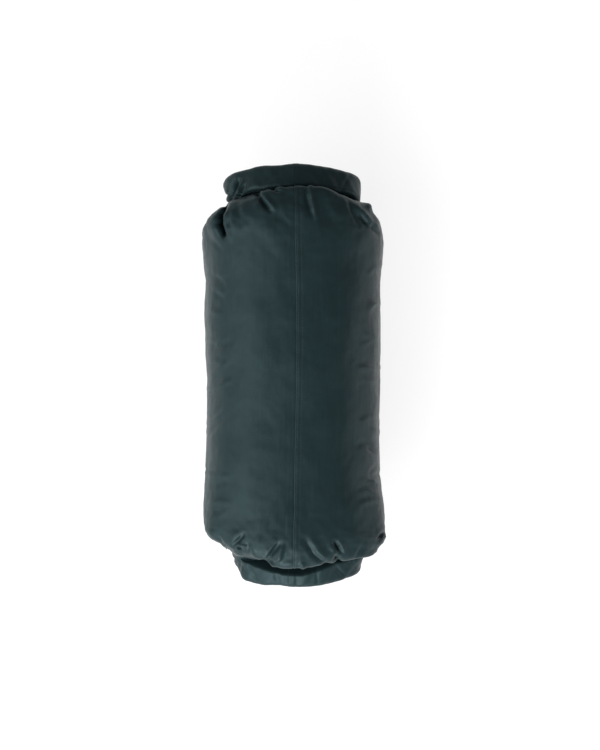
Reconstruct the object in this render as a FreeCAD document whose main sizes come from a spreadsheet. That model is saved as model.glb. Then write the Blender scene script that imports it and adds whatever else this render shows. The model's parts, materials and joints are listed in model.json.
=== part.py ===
"""Double-ended roll-top compression sack, stuffed and lying on its back.

Row frame, millimetres: +X across the sack, +Y along it towards the head end, +Z up out of the front seam.
The origin is on the floor under the middle of the sack. Both ends close the same way: the flattened mouth
is rolled round a stiffener strip, the rolled bar bends back into a C, and a side-release buckle on two
webbing loops joins its tips behind the sack. One closure is modelled in its own frame and placed twice.

Closure frame: x across, y along the ring's axis away from the sack, z towards the front seam's side. Its
origin is the middle of the rolled bar. Buckle frame: the same directions, origin at the buckle's middle.
"""

import FreeCAD
import Part

import math
import os

import Sketcher

V = FreeCAD.Vector
X_AXIS, Y_AXIS, Z_AXIS = V(1, 0, 0), V(0, 1, 0), V(0, 0, 1)
DOC = FreeCAD.newDocument("CompressionSack")

# ---------------------------------------------------------------- driving dimensions

DIMENSIONS = {
    # stuffed body
    "mouth_y": 200.0,
    "half_width": 94.6,
    "shoulder_half_width": 98.5,
    "body_top": 168.0,
    "floor_cut": 4.0,
    "squareness": 2.35,
    "mouth_half_gap": 5.5,
    "fabric": 1.2,
    # seam down the front and the back: the right panel laps over the left one
    "seam_x": 3.0,
    "allowance_width": 9.0,
    "allowance_thickness": 0.8,
    "tape_width": 20.0,
    "tape_thickness": 0.4,
    "thread_row_one": 1.5,
    "thread_row_two": 6.5,
    "thread_width": 0.7,
    "thread_depth": 0.35,
    # ring that the rolled bar makes
    "ring_tilt": 25.0,
    "ring_y": 217.3,
    "head_ring_z": 138.0,
    "foot_ring_z": 122.0,
    "front_radius": 100.0,
    "front_half_chord": 60.0,
    "bend_radius": 22.0,
    "cut_angle": 62.0,
    "arm_angle": 110.0,
    "arm_length": 50.0,
    "cut_gap": 0.3,
    "hinge_offset": 6.6,
    # rolled cross-section
    "roll_half_run": 9.0,
    "core_radius": 1.7,
    "wrap_pitch": 1.3,
    "wrap_thickness": 0.9,
    "half_turns": 7,
    "tail_half_angle": 21.0,
    "tail_overlap": 3.0,
    "stiffener_width": 19.0,
    "stiffener_thickness": 1.6,
    "stiffener_setback": 13.0,
    # webbing
    "web_width": 19.0,
    "web_thickness": 1.2,
    "root_thickness": 1.6,
    "root_inside": 11.0,
    "pivot_reach": 9.0,
    "pivot_offset": 3.4,
    "tack_width": 1.4,
    "tack_length": 15.0,
    "tack_height": 0.3,
    "tack_x": 31.5,
    # side-release buckle
    "buckle_half": 24.0,
    "buckle_width": 27.0,
    "buckle_depth": 9.0,
    "corner_radius": 2.5,
    "edge_radius": 0.9,
    "bar_width": 3.0,
    "bar_depth": 4.0,
    "web_slot_end": 14.0,
    "web_slot_width": 20.6,
    "web_clearance": 0.2,
    "mouth_x": 5.0,
    "seat_gap": 0.4,
    "socket_end": 12.0,
    "socket_width": 22.0,
    "socket_depth": 6.0,
    "window_start": 2.0,
    "window_end": 11.0,
    "guide_width": 5.0,
    "tongue_depth": 5.2,
    "tongue_end": 10.5,
    "prong_centre": 8.5,
    "prong_width": 2.6,
    "prong_gap": 0.3,
    "prong_tip": 10.0,
    "barb_start": 2.4,
    "barb_flat": 1.0,
    "barb_reach": 12.2,
    "barb_tip_reach": 10.4,
}

SHEET = DOC.addObject("Spreadsheet::Sheet", "Dims")
for row, (alias, value) in enumerate(DIMENSIONS.items(), start=1):
    SHEET.set(f"A{row}", alias)
    SHEET.set(f"B{row}", str(value))
    SHEET.setAlias(f"B{row}", alias)
DOC.recompute()


def dim(alias):
    """A driving dimension, read from the sheet."""
    return float(getattr(SHEET, alias))


def expression(words):
    """An expression in the sheet's aliases, as the document's objects read it."""
    return " ".join(f"Dims.{word}" if word in DIMENSIONS else word for word in words.split())


# ---------------------------------------------------------------- stuffed body

# Sections as shares of mouth_y, the shoulder's half width and the body's height: where it is, its half
# width, its lowest and highest points, and how much of the ring's bow it follows.
MIDDLE = (-0.6, -0.3, 0.0, 0.3, 0.6)
TAPER = (
    (0.72, 0.985, 0.14, 0.985, 0.0),
    (0.81, 0.955, 0.375, 0.965, 0.0),
    (0.90, 0.88, 0.60, 0.93, 0.15),
    (0.955, 0.62, 0.71, 0.885, 0.5),
)
MOUTH_HALF_WIDTH = 0.46
SECTION_POINTS = 24


def section(y, half_width, low, high, bow=0.0):
    """A closed smooth section of the sack at y, squarer than an ellipse and bowed towards its sides."""
    middle, half_height = (low + high) / 2, (high - low) / 2
    power = 2 / dim("squareness")
    bow_radius = dim("front_radius") * math.cos(math.radians(dim("ring_tilt")))
    points = []
    for k in range(SECTION_POINTS):
        angle = 2 * math.pi * (k + 0.5) / SECTION_POINTS
        c, s = math.cos(angle), math.sin(angle)
        x = half_width * math.copysign(abs(c) ** power, c)
        z = middle + half_height * math.copysign(abs(s) ** power, s)
        points.append(V(x, y, z - bow * x * x / (2 * bow_radius)))
    curve = Part.BSplineCurve()
    curve.interpolate(points, PeriodicFlag=True)
    return Part.Wire([curve.toShape()])


def tail_start(end):
    """Row y and z, at the middle, where the sack's fabric runs onto the outermost wrap."""
    place = closure_placement(end)
    point = place.multVec(V(0, -dim("roll_half_run"), -end * outer_run()))
    return abs(point.y), point.z


def slot_z(end):
    """Height of the mouth's middle, in line with the fabric that runs onto the roll."""
    y, z = tail_start(end)
    return z + (y - dim("mouth_y")) * math.tan(math.radians(dim("ring_tilt")))


def end_sections(end, depth):
    """Sections from the shoulder to the mouth, end being 1 at the head and -1 at the foot."""
    top, wide = dim("body_top"), dim("shoulder_half_width")
    slot, gap = slot_z(end), dim("mouth_half_gap") - depth
    lower = slot - slot_z(1)
    made = []
    for share, width, low, high, bow in TAPER:
        lean = lower * bow
        ends = (low * top + lean + depth, high * top + lean - depth)
        made.append(section(end * share * dim("mouth_y"), width * wide - depth, *ends, bow))
    mouth = MOUTH_HALF_WIDTH * wide - depth
    made.append(section(end * dim("mouth_y"), mouth, slot - gap, slot + gap, 1.0))
    return made


def middle_sections(depth):
    """Sections of the nearly straight part, which is slightly waisted."""
    made = []
    for share in MIDDLE:
        swell = (share / MIDDLE[-1]) ** 2
        half = dim("half_width") + swell * (dim("shoulder_half_width") - dim("half_width"))
        low, high = depth - dim("floor_cut"), dim("body_top") - depth
        made.append(section(share * dim("mouth_y"), half - depth, low, high))
    return made


def form(depth):
    """The stuffed sack as a solid, shrunk by depth, with a flat patch where it rests on the floor."""
    sections = end_sections(-1, depth)[::-1] + middle_sections(depth) + end_sections(1, depth)
    reach = 2 * dim("mouth_y")
    above_floor = Part.makeBox(2 * reach, 2 * reach, reach, V(-reach, -reach, depth))
    return Part.makeLoft(sections, True, False).common(above_floor)


def stripe(layer, low_x, high_x, front):
    """The part of a layer between two x values, on the front seam's side or on the back one's."""
    reach = 2 * dim("mouth_y")
    pieces = layer.common(Part.makeBox(high_x - low_x, 2 * reach, reach, V(low_x, -reach, 0))).Solids
    upper = max(pieces, key=lambda solid: solid.CenterOfMass.z)
    lower = min(pieces, key=lambda solid: solid.CenterOfMass.z)
    return upper if front else lower


def body_parts():
    """The two fabric panels and, along the seam on each side, its allowance, tape and threads."""
    fabric, seam, reach = dim("fabric"), dim("seam_x"), 2 * dim("mouth_y")
    allowance = fabric + dim("allowance_thickness")
    outer, lining, inner = form(0.0), form(fabric), form(allowance)
    wall = outer.cut(lining)
    thread_layer = outer.cut(form(dim("thread_depth")))
    allowance_layer = lining.cut(inner)
    tape_layer = inner.cut(form(allowance + dim("tape_thickness")))
    tape_low = seam + (dim("allowance_width") - dim("tape_width")) / 2
    parts, threads = {}, []
    for side, front in (("front", True), ("back", False)):
        rows = []
        for row_x in (dim("thread_row_one"), dim("thread_row_two")):
            low = seam + row_x
            rows.append(stripe(thread_layer, low, low + dim("thread_width"), front))
        threads += rows
        allowance_high = seam + dim("allowance_width")
        parts[f"{side}_seam_allowance"] = stripe(allowance_layer, seam, allowance_high, front)
        parts[f"{side}_seam_tape"] = stripe(tape_layer, tape_low, tape_low + dim("tape_width"), front)
        parts[f"{side}_seam_thread"] = Part.makeCompound(rows)
    parts["left_panel"] = wall.common(Part.makeBox(reach + seam, 2 * reach, reach, V(-reach, -reach, 0)))
    right = wall.common(Part.makeBox(reach, 2 * reach, reach, V(seam, -reach, 0)))
    parts["right_panel"] = right.cut(threads)
    return parts


# ---------------------------------------------------------------- rolled bar

def closure_placement(end):
    """Where the closure frame stands in the row frame, at the head (1) or the foot (-1)."""
    tilt = FreeCAD.Rotation(X_AXIS, -dim("ring_tilt"))
    turn = FreeCAD.Rotation(Z_AXIS, 0 if end > 0 else 180)
    ring_z = dim("head_ring_z") if end > 0 else dim("foot_ring_z")
    return FreeCAD.Placement(V(0, end * dim("ring_y"), ring_z), turn.multiply(tilt))


def outer_run():
    """Distance of the outermost straight run's middle from the roll's middle plane."""
    return dim("wrap_pitch") / 4 + dim("core_radius") + (dim("half_turns") - 1) * dim("wrap_pitch") / 2


def front_angle():
    """Angle that half of the front arc turns through, in degrees."""
    return math.degrees(math.asin(dim("front_half_chord") / dim("front_radius")))


def front_centre():
    """Centre of the front arc."""
    return V(0, 0, -dim("front_radius"))


def bend_centre():
    """Centre of the right-hand bend, inside the end of the front arc."""
    reach = dim("front_radius") - dim("bend_radius")
    angle = math.radians(front_angle())
    return front_centre() + V(reach * math.sin(angle), 0, reach * math.cos(angle))


def on_bend(angle, radius):
    """A point of the right-hand bend where the bar has turned through an angle from straight."""
    turn = math.radians(angle)
    return bend_centre() + V(radius * math.sin(turn), 0, radius * math.cos(turn))


def arm_direction():
    """Direction of the straight right arm towards its tip."""
    turn = math.radians(dim("arm_angle"))
    return V(math.cos(turn), 0, -math.sin(turn))


def along_arm(length):
    """A point on the right arm's centre line, measured from where the arm starts."""
    return on_bend(dim("arm_angle"), dim("bend_radius")) + arm_direction() * length


def hinge_point():
    """Where the right arm swings: on the roll's outer surface at the cut."""
    return on_bend(dim("cut_angle"), dim("bend_radius") + dim("hinge_offset"))


def spiral_side(offset, side):
    """One edge of the wrapped fabric, offset from its middle, as edges from the core outwards."""
    run, pitch = dim("roll_half_run"), dim("wrap_pitch")
    edges, last = [], V(0, -run, side * (pitch / 4 - dim("core_radius") - offset))
    for turn in range(int(dim("half_turns"))):
        radius = dim("core_radius") + turn * pitch / 2 + offset
        hand = 1 if turn % 2 == 0 else -1
        middle = V(0, hand * run, side * hand * pitch / 4)
        start = middle - Z_AXIS * (side * hand * radius)
        stop = middle + Z_AXIS * (side * hand * radius)
        edges.append(Part.LineSegment(last, start).toShape())
        edges.append(Part.Arc(start, middle + Y_AXIS * (hand * radius), stop).toShape())
        last = stop
    end = V(0, -run, last.z)
    edges.append(Part.LineSegment(last, end).toShape())
    return edges


def roll_section(side):
    """The rolled fabric's section at x = 0, its last run leaving on the side where z has that sign."""
    half = dim("wrap_thickness") / 2
    outer, inner = spiral_side(half, side), spiral_side(-half, side)
    first = Part.LineSegment(inner[0].firstVertex().Point, outer[0].firstVertex().Point).toShape()
    last = Part.LineSegment(outer[-1].lastVertex().Point, inner[-1].lastVertex().Point).toShape()
    return Part.Face(Part.Wire(Part.__sortEdges__(outer + inner + [first, last])))


def rectangle(y_low, y_high, z_low, z_high):
    """A flat face at x = 0."""
    corners = [V(0, y_low, z_low), V(0, y_high, z_low), V(0, y_high, z_high), V(0, y_low, z_high)]
    return Part.Face(Part.makePolygon(corners + corners[:1]))


def turned(shape, centre, angle):
    """A copy of a shape turned about an axis along y."""
    copy = shape.copy()
    copy.rotate(centre, Y_AXIS, angle)
    return copy


def mirrored(shape):
    """The same shape on the other side of the sack's middle."""
    return shape.mirror(V(0, 0, 0), X_AXIS)


def bar_centre(face):
    """A section carried round the front arc and both bends up to the cuts."""
    front, bend = front_angle(), bend_centre()
    gap = math.degrees(dim("cut_gap") / 2 / dim("bend_radius"))
    arc = turned(face, front_centre(), -front).revolve(front_centre(), Y_AXIS, 2 * front)
    shoulder = turned(face, front_centre(), front).revolve(bend, Y_AXIS, dim("cut_angle") - gap - front)
    return arc.fuse([shoulder, mirrored(shoulder)]).removeSplitter()


def bar_arm(face, length):
    """A section carried round the rest of the right bend and along the straight arm."""
    front, bend = front_angle(), bend_centre()
    gap = math.degrees(dim("cut_gap") / 2 / dim("bend_radius"))
    at_front = turned(face, front_centre(), front)
    start = turned(at_front, bend, dim("cut_angle") + gap - front)
    curve = start.revolve(bend, Y_AXIS, dim("arm_angle") - dim("cut_angle") - gap)
    straight = turned(at_front, bend, dim("arm_angle") - front).extrude(arm_direction() * length)
    return curve.fuse(straight).removeSplitter()


def tail(end):
    """The flat fabric between the outermost wrap and the inside of the sack's mouth."""
    level, half = -end * outer_run(), dim("wrap_thickness") / 2
    run = (tail_start(end)[0] - dim("mouth_y")) / math.cos(math.radians(dim("ring_tilt")))
    low = -dim("roll_half_run") - run - dim("tail_overlap")
    face = rectangle(low, -dim("roll_half_run"), level - half, level + half)
    angle = dim("tail_half_angle")
    return turned(face, front_centre(), -angle).revolve(front_centre(), Y_AXIS, 2 * angle)


def roll_parts(end):
    """The rolled fabric and the stiffener in its core, each as a middle and two arms."""
    side = -end
    wraps = roll_section(side)
    core = side * dim("wrap_pitch") / 4
    half_width, half = dim("stiffener_width") / 2, dim("stiffener_thickness") / 2
    strip = rectangle(-half_width, half_width, core - half, core + half)
    wraps_arm = bar_arm(wraps, dim("arm_length"))
    strip_arm = bar_arm(strip, dim("arm_length") - dim("stiffener_setback"))
    return {
        "wraps_center": bar_centre(wraps).fuse(tail(end)).removeSplitter(),
        "wraps_right": wraps_arm,
        "wraps_left": mirrored(wraps_arm),
        "stiffener_center": bar_centre(strip),
        "stiffener_right": strip_arm,
        "stiffener_left": mirrored(strip_arm),
    }


# ---------------------------------------------------------------- webbing

def pivot_point():
    """Where the right webbing bends between the arm's tip and the buckle."""
    return along_arm(dim("arm_length") + dim("pivot_reach"))


def plate(start, stop, thickness, width, offset=0.0):
    """A flat strap of webbing from start to stop in a plane of constant y, its far end rounded."""
    run = stop - start
    direction = V(run).normalize()
    across = Y_AXIS.cross(direction) * (thickness / 2)
    lift = direction.cross(Y_AXIS) * offset
    corners = [start + across + lift, start - across + lift, stop - across + lift, stop + across + lift]
    straight = Part.makePolygon(corners[:3])
    tip = Part.Arc(corners[2], stop + direction * (thickness / 2) + lift, corners[3]).toShape()
    back = Part.LineSegment(corners[3], corners[0]).toShape()
    face = Part.Face(Part.Wire(straight.Edges + [tip, back]))
    face.translate(Y_AXIS * (-width / 2))
    return face.extrude(Y_AXIS * width)


def web_loop():
    """The right webbing loop: a doubled stem from the bend and one turn round the buckle's bar."""
    level, width = pivot_point().z, dim("web_width")
    web, clear = dim("web_thickness"), dim("web_clearance")
    bar_far = dim("buckle_half") + clear
    bar_near = dim("buckle_half") - dim("bar_width") - clear
    half = dim("bar_depth") / 2 + clear
    size = (bar_far - bar_near + 2 * web, width, 2 * (half + web))
    turn = Part.makeBox(*size, V(bar_near - web, -width / 2, level - half - web))
    turn = turn.makeFillet(2 * web, [e for e in turn.Edges if abs(e.tangentAt(0).y) > 0.9])
    hole = Part.makeBox(bar_far - bar_near, width, 2 * half, V(bar_near, -width / 2, level - half))
    start, stop = V(bar_far + web / 2, 0, level), pivot_point() - X_AXIS * dim("pivot_offset")
    stem = plate(start, stop, 2 * web, width)
    return turn.cut(hole).fuse(stem).removeSplitter()


def bar_tack():
    """The stitched bar that closes the right webbing loop, standing a little proud on both faces."""
    size = V(dim("tack_width"), dim("tack_length"), 2 * (dim("web_thickness") + dim("tack_height")))
    corner = V(dim("tack_x"), 0, pivot_point().z) - size / 2
    return Part.makeBox(size.x, size.y, size.z, corner)


def web_parts(end):
    """Both webbing roots, loops and bar tacks of one closure."""
    start = along_arm(dim("arm_length") - dim("root_inside"))
    stop = pivot_point() - arm_direction() * dim("pivot_offset")
    core = -end * dim("wrap_pitch") / 4
    tack = bar_tack()
    right = {
        "tab_root": plate(start, stop, dim("root_thickness"), dim("web_width"), core),
        "web_loop": web_loop().cut(tack),
        "bar_tack": tack,
    }
    parts = {}
    for kind, shape in right.items():
        parts[f"right_{kind}"] = shape
        parts[f"left_{kind}"] = mirrored(shape)
    return parts


# ---------------------------------------------------------------- side-release buckle

def sketch(body, name, corners):
    """A closed outline on the body's XY plane, each corner a pair of expressions in the sheet's aliases."""
    outline = body.newObject("Sketcher::SketchObject", name)
    plane = next(feature for feature in body.Origin.OriginFeatures if feature.Role == "XY_Plane")
    outline.AttachmentSupport = [(plane, "")]
    outline.MapMode = "FlatFace"
    count = len(corners)
    for k in range(count):
        start, stop = 2 * math.pi * k / count, 2 * math.pi * (k + 1) / count
        line = Part.LineSegment(V(math.cos(start), math.sin(start)), V(math.cos(stop), math.sin(stop)))
        outline.addGeometry(line, False)
    for k, (x, y) in enumerate(corners):
        outline.addConstraint(Sketcher.Constraint("Coincident", k, 2, (k + 1) % count, 1))
        for kind, words in (("DistanceX", x), ("DistanceY", y)):
            index = outline.addConstraint(Sketcher.Constraint(kind, -1, 1, k, 1, 1.0))
            outline.setExpression(f"Constraints[{index}]", expression(words))
    return outline


def box_corners(low_x, high_x, width):
    """Corners of a rectangle between two x expressions, as wide as the third and centred on y = 0."""
    near, far = f"0 - ( {width} ) / 2", f"( {width} ) / 2"
    return [(low_x, near), (high_x, near), (high_x, far), (low_x, far)]


def add(body, kind, name, corners, depth):
    """A Pad or a Pocket of an outline, half of its depth to each side of the buckle's middle plane."""
    feature = body.newObject(f"PartDesign::{kind}", name)
    feature.Profile = sketch(body, name + "Outline", corners)
    feature.Midplane = True
    feature.setExpression("Length", expression(depth))
    DOC.recompute()
    return feature


def corner_edges(shape, x):
    """Names of the edges along z that stand at an outer corner of the given x."""
    names = []
    for k, edge in enumerate(shape.Edges, start=1):
        middle = edge.BoundBox.Center
        along_z = edge.BoundBox.ZLength > 0.9 * dim("buckle_depth")
        if along_z and abs(middle.x - x) < 0.01 and abs(abs(middle.y) - dim("buckle_width") / 2) < 0.01:
            names.append(f"Edge{k}")
    return names


def rim_edges(shape):
    """Names of the edges round the outside of the two broad faces."""
    names, half = [], dim("buckle_depth") / 2
    for k, edge in enumerate(shape.Edges, start=1):
        box = edge.BoundBox
        flat = box.ZLength < 0.01 and abs(abs(box.Center.z) - half) < 0.01
        inside_slot = max(abs(box.YMin), abs(box.YMax)) < dim("web_slot_width") / 2 + 0.01
        if flat and not inside_slot:
            names.append(f"Edge{k}")
    return names


def round_edges(body, name, base, edges, radius):
    """A fillet on some of a feature's edges."""
    feature = body.newObject("PartDesign::Fillet", name)
    feature.Base = (base, edges)
    feature.setExpression("Radius", expression(radius))
    DOC.recompute()
    return feature


def webbing_end(body, hand):
    """The slot and the bar that the webbing goes round, at the end on the side where x has hand's sign."""
    ends = [f"{hand} * web_slot_end", f"{hand} * ( buckle_half + 1 )"]
    low, high = ends if hand > 0 else ends[::-1]
    add(body, "Pocket", "WebSlot", box_corners(low, high, "web_slot_width"), "buckle_depth + 2")
    ends = [f"{hand} * ( buckle_half - bar_width )", f"{hand} * buckle_half"]
    low, high = ends if hand > 0 else ends[::-1]
    add(body, "Pad", "Bar", box_corners(low, high, "web_slot_width + 1"), "bar_depth")


def female_buckle(name):
    """The socket half: a flat housing with a window in each side for a barb, and the webbing's bar."""
    body = DOC.addObject("PartDesign::Body", name)
    outline = box_corners("0 - mouth_x", "buckle_half", "buckle_width")
    base = add(body, "Pad", "Housing", outline, "buckle_depth")
    corners = corner_edges(base.Shape, dim("buckle_half"))
    rounded = round_edges(body, "Corners", base, corners, "corner_radius")
    round_edges(body, "Rims", rounded, rim_edges(rounded.Shape), "edge_radius")
    socket = box_corners("0 - mouth_x - 1", "socket_end", "socket_width")
    add(body, "Pocket", "Socket", socket, "socket_depth")
    window = box_corners("window_start", "window_end", "buckle_width + 2")
    add(body, "Pocket", "Windows", window, "socket_depth")
    webbing_end(body, 1)
    return body


def male_buckle(name):
    """The plug half without its prongs: the webbing's bar, a shouldered block and the guide tongue."""
    body = DOC.addObject("PartDesign::Body", name)
    face = "0 - mouth_x - seat_gap"
    base = add(body, "Pad", "Block", box_corners("0 - buckle_half", face, "buckle_width"), "buckle_depth")
    corners = corner_edges(base.Shape, -dim("buckle_half"))
    rounded = round_edges(body, "Corners", base, corners, "corner_radius")
    round_edges(body, "Rims", rounded, rim_edges(rounded.Shape), "edge_radius")
    webbing_end(body, -1)
    add(body, "Pad", "Tongue", box_corners(face + " - 1", "tongue_end", "guide_width"), "tongue_depth")
    return body


def prong(name, hand):
    """One spring prong with its barb, on the side where y has hand's sign."""
    body = DOC.addObject("PartDesign::Body", name)
    root = "0 - mouth_x - seat_gap + prong_gap"
    inner, outer = "prong_centre - prong_width / 2", "prong_centre + prong_width / 2"
    outline = [
        (root, inner),
        ("prong_tip", inner),
        ("prong_tip", "barb_tip_reach"),
        ("barb_start + barb_flat", "barb_reach"),
        ("barb_start", "barb_reach"),
        ("barb_start", outer),
        (root, outer),
    ]
    add(body, "Pad", "Beam", [(x, f"{hand} * ( {y} )") for x, y in outline], "tongue_depth")
    return body


def buckle_parts(prefix):
    """One side-release buckle: the socket half, the plug half and its two prongs."""
    return {
        "female_buckle": female_buckle(prefix + "female_buckle"),
        "male_buckle": male_buckle(prefix + "male_buckle"),
        "outer_prong": prong(prefix + "outer_prong", 1),
        "inner_prong": prong(prefix + "inner_prong", -1),
    }


# ---------------------------------------------------------------- assembly

def feature(label, shape, placement=None):
    """A document object that holds one sub-part's finished shape."""
    item = DOC.addObject("Part::Feature", label)
    item.Shape = shape.Solids[0] if len(shape.Solids) == 1 else shape
    item.Label = label
    item.Placement = placement or FreeCAD.Placement()
    return item


def row_name(prefix, name, end):
    """A closure part's name by the row's left and right, which swap where the closure is turned round."""
    swapped = {"left": "right", "right": "left"}
    words = [swapped.get(word, word) if end < 0 else word for word in name.split("_")]
    return prefix + "_".join(words)


def assemble():
    """Every sub-part of the sack as a placed document object, by name."""
    items = {name: feature(name, shape) for name, shape in body_parts().items()}
    for prefix, end in (("head_", 1), ("foot_", -1)):
        place = closure_placement(end)
        for name, shape in {**roll_parts(end), **web_parts(end)}.items():
            label = row_name(prefix, name, end)
            items[label] = feature(label, shape, place)
        middle = place.multiply(FreeCAD.Placement(Z_AXIS * pivot_point().z, FreeCAD.Rotation()))
        for name, body in buckle_parts(prefix).items():
            body.Label = prefix + name
            body.Placement = middle
            items[prefix + name] = body
    DOC.recompute()
    return items


def check(items):
    """Stop if any object failed to compute or any sub-part has no valid shape."""
    for item in DOC.Objects:
        if {"Invalid", "Error"} & set(item.State):
            raise RuntimeError(f"{item.Name} failed: {item.State}")
    for name, item in items.items():
        if item.Shape.isNull() or not item.Shape.isValid() or not item.Shape.Solids:
            raise RuntimeError(f"{name} has no valid shape")


def main():
    """Build, check and write one file per sub-part."""
    items = assemble()
    check(items)
    os.makedirs("parts", exist_ok=True)
    for name, item in items.items():
        item.Shape.exportStep(f"parts/{name}.step")
        print(name, len(item.Shape.Solids), round(item.Shape.Volume, 1))


main()
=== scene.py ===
"""Stuffed double-ended roll-top compression sack: its fabric, seams, rolls, webbing and buckles.

Row frame: +X across the sack, +Y towards the head end, +Z up. The closure frame of either end is x across,
y along the ring's axis away from the sack and z towards the front seam's side; its origin is the rolled
bar's middle. Shapes are worked out in millimetres and turned into metres as meshes are made.
"""

import json
import math

import bmesh
import bpy
import numpy as np
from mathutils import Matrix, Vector, noise

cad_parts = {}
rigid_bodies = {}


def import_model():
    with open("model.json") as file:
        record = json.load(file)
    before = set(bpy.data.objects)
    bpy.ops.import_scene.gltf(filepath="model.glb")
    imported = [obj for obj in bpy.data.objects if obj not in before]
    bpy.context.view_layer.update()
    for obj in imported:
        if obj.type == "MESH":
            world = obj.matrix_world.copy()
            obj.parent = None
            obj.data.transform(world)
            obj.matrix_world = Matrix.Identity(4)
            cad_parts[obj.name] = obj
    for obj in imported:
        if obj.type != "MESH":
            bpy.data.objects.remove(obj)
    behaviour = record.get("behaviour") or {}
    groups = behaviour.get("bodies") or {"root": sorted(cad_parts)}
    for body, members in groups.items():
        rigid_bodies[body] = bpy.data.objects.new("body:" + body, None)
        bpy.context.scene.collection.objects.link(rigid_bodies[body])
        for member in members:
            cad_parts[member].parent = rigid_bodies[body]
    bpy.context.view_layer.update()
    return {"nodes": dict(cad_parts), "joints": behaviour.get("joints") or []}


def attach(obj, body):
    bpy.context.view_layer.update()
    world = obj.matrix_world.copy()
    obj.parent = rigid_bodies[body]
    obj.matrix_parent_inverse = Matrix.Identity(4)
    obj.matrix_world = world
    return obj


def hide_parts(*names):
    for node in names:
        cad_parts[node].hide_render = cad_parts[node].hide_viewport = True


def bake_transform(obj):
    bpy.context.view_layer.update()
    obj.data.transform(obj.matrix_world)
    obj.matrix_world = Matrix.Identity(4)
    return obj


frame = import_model()

MM = 0.001
SCENE = bpy.context.scene
SCENE.view_settings.view_transform = "Standard"
HEAD, FOOT = 1, -1
END_NAMES = {HEAD: "head", FOOT: "foot"}
HANDS = {"right": 1, "left": -1}

# ---------- sizes shared with the design, in mm

# The ring that a closure makes: its tilt, its origin's distance from the sack's middle and its height.
TILT = math.radians(25)
RING_Y = 217.3
RING_Z = {HEAD: 138.0, FOOT: 122.0}
# The bar from its middle: a shallow front arc, a tight bend with the arm's joint in it, a straight arm.
FRONT_RADIUS, FRONT_HALF_CHORD = 100.0, 60.0
BEND_RADIUS, CUT_ANGLE = 22.0, math.radians(62)
ARM_ANGLE, ARM_LENGTH, PIVOT_REACH = math.radians(110), 50.0, 9.0
# The wrapped fabric: half of its flat run, the radius it starts with, its pitch and the fabric's thickness.
ROLL_RUN, CORE_RADIUS = 9.0, 1.7
WRAP_PITCH, WRAP_THICKNESS, HALF_TURNS = 1.3, 0.9, 7
OUTER_RUN = WRAP_PITCH / 4 + CORE_RADIUS + (HALF_TURNS - 1) * WRAP_PITCH / 2
THROAT = 4.5
STIFFENER_WIDTH, STIFFENER_THICKNESS, STIFFENER_SETBACK = 19.0, 1.6, 13.0
WEB_WIDTH, WEB_THICKNESS = 19.0, 1.2
BUCKLE_HALF, BAR_WIDTH, BAR_DEPTH = 24.0, 3.0, 4.0
# The stuffed body: a squared oval on a flat patch, wider at its shoulders.
HALF_WIDTH, SHOULDER_SWELL, SHOULDER_Y = 94.0, 4.5, 150.0
BODY_TOP, FLOOR_CUT, SQUARENESS = 168.0, 4.0, 2.35
SEAM_X = 3.0


def rise(value, start, stop):
    """0 before start, 1 past stop and straight in between; start may be the higher of the two."""
    return np.clip((value - start) / (stop - start), 0, 1)


def bell(distance, half_width):
    """1 at no distance, falling off smoothly over the half width."""
    return np.exp(-(distance / half_width) ** 2)


def named(end, *words):
    """The name of a piece, node or body at one end of the sack."""
    return "_".join((END_NAMES[end], *words))


# ---------- materials

WHITE = (1, 1, 1, 1)
MIX_FIRST, MIX_SECOND = 6, 7  # the Mix node's two colour inputs


def principled(name, color, roughness, **sockets):
    """A material with one Principled shader, uniform values set straight on its sockets."""
    material = bpy.data.materials.new(name)
    material.use_nodes = True
    shader = material.node_tree.nodes["Principled BSDF"]
    shader.inputs["Base Color"].default_value = (*color, 1)
    shader.inputs["Roughness"].default_value = roughness
    for socket, value in sockets.items():
        shader.inputs[socket.replace("_", " ")].default_value = value
    return material, material.node_tree, shader


def node(tree, kind, **settings):
    """A shader node with attributes and, by socket name, unlinked input values."""
    made = tree.nodes.new(kind)
    for key, value in settings.items():
        if hasattr(made, key):
            setattr(made, key, value)
        else:
            made.inputs[key].default_value = value
    return made


def math_node(tree, operation, *values):
    """A Math node over sockets or numbers."""
    made = node(tree, "ShaderNodeMath", operation=operation)
    for socket, value in zip(made.inputs, values):
        if isinstance(value, (int, float)):
            socket.default_value = value
        else:
            tree.links.new(value, socket)
    return made.outputs[0]


def weighted(tree, *terms):
    """The sum of sockets, each times its weight."""
    parts = [math_node(tree, "MULTIPLY", socket, weight) for socket, weight in terms]
    total = parts[0]
    for part in parts[1:]:
        total = math_node(tree, "ADD", total, part)
    return total


def object_place(tree):
    """Coordinates in the piece itself, in metres."""
    return node(tree, "ShaderNodeTexCoord").outputs["Object"]


def fabric_place(tree):
    """Coordinates along the fabric, in millimetres."""
    return node(tree, "ShaderNodeUVMap", uv_map="fabric").outputs[0]


def noise_field(tree, place, scale, detail=2.0, roughness=0.5):
    """Soft noise over some coordinates."""
    made = node(tree, "ShaderNodeTexNoise", Scale=scale, Detail=detail, Roughness=roughness)
    tree.links.new(place, made.inputs["Vector"])
    return made.outputs[0]


def ramp(tree, source, *stops):
    """A colour ramp over a factor: stops are (place, colour)."""
    made = node(tree, "ShaderNodeValToRGB")
    elements = made.color_ramp.elements
    while len(elements) < len(stops):
        elements.new(0.5)
    for element, (place, color) in zip(elements, stops):
        element.position = place
        element.color = (*color, 1)
    tree.links.new(source, made.inputs[0])
    return made.outputs[0]


def vary_color(tree, shader, source, *stops):
    """Base colour by a texture: stops are (place, colour)."""
    tree.links.new(ramp(tree, source, *stops), shader.inputs["Base Color"])


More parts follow.
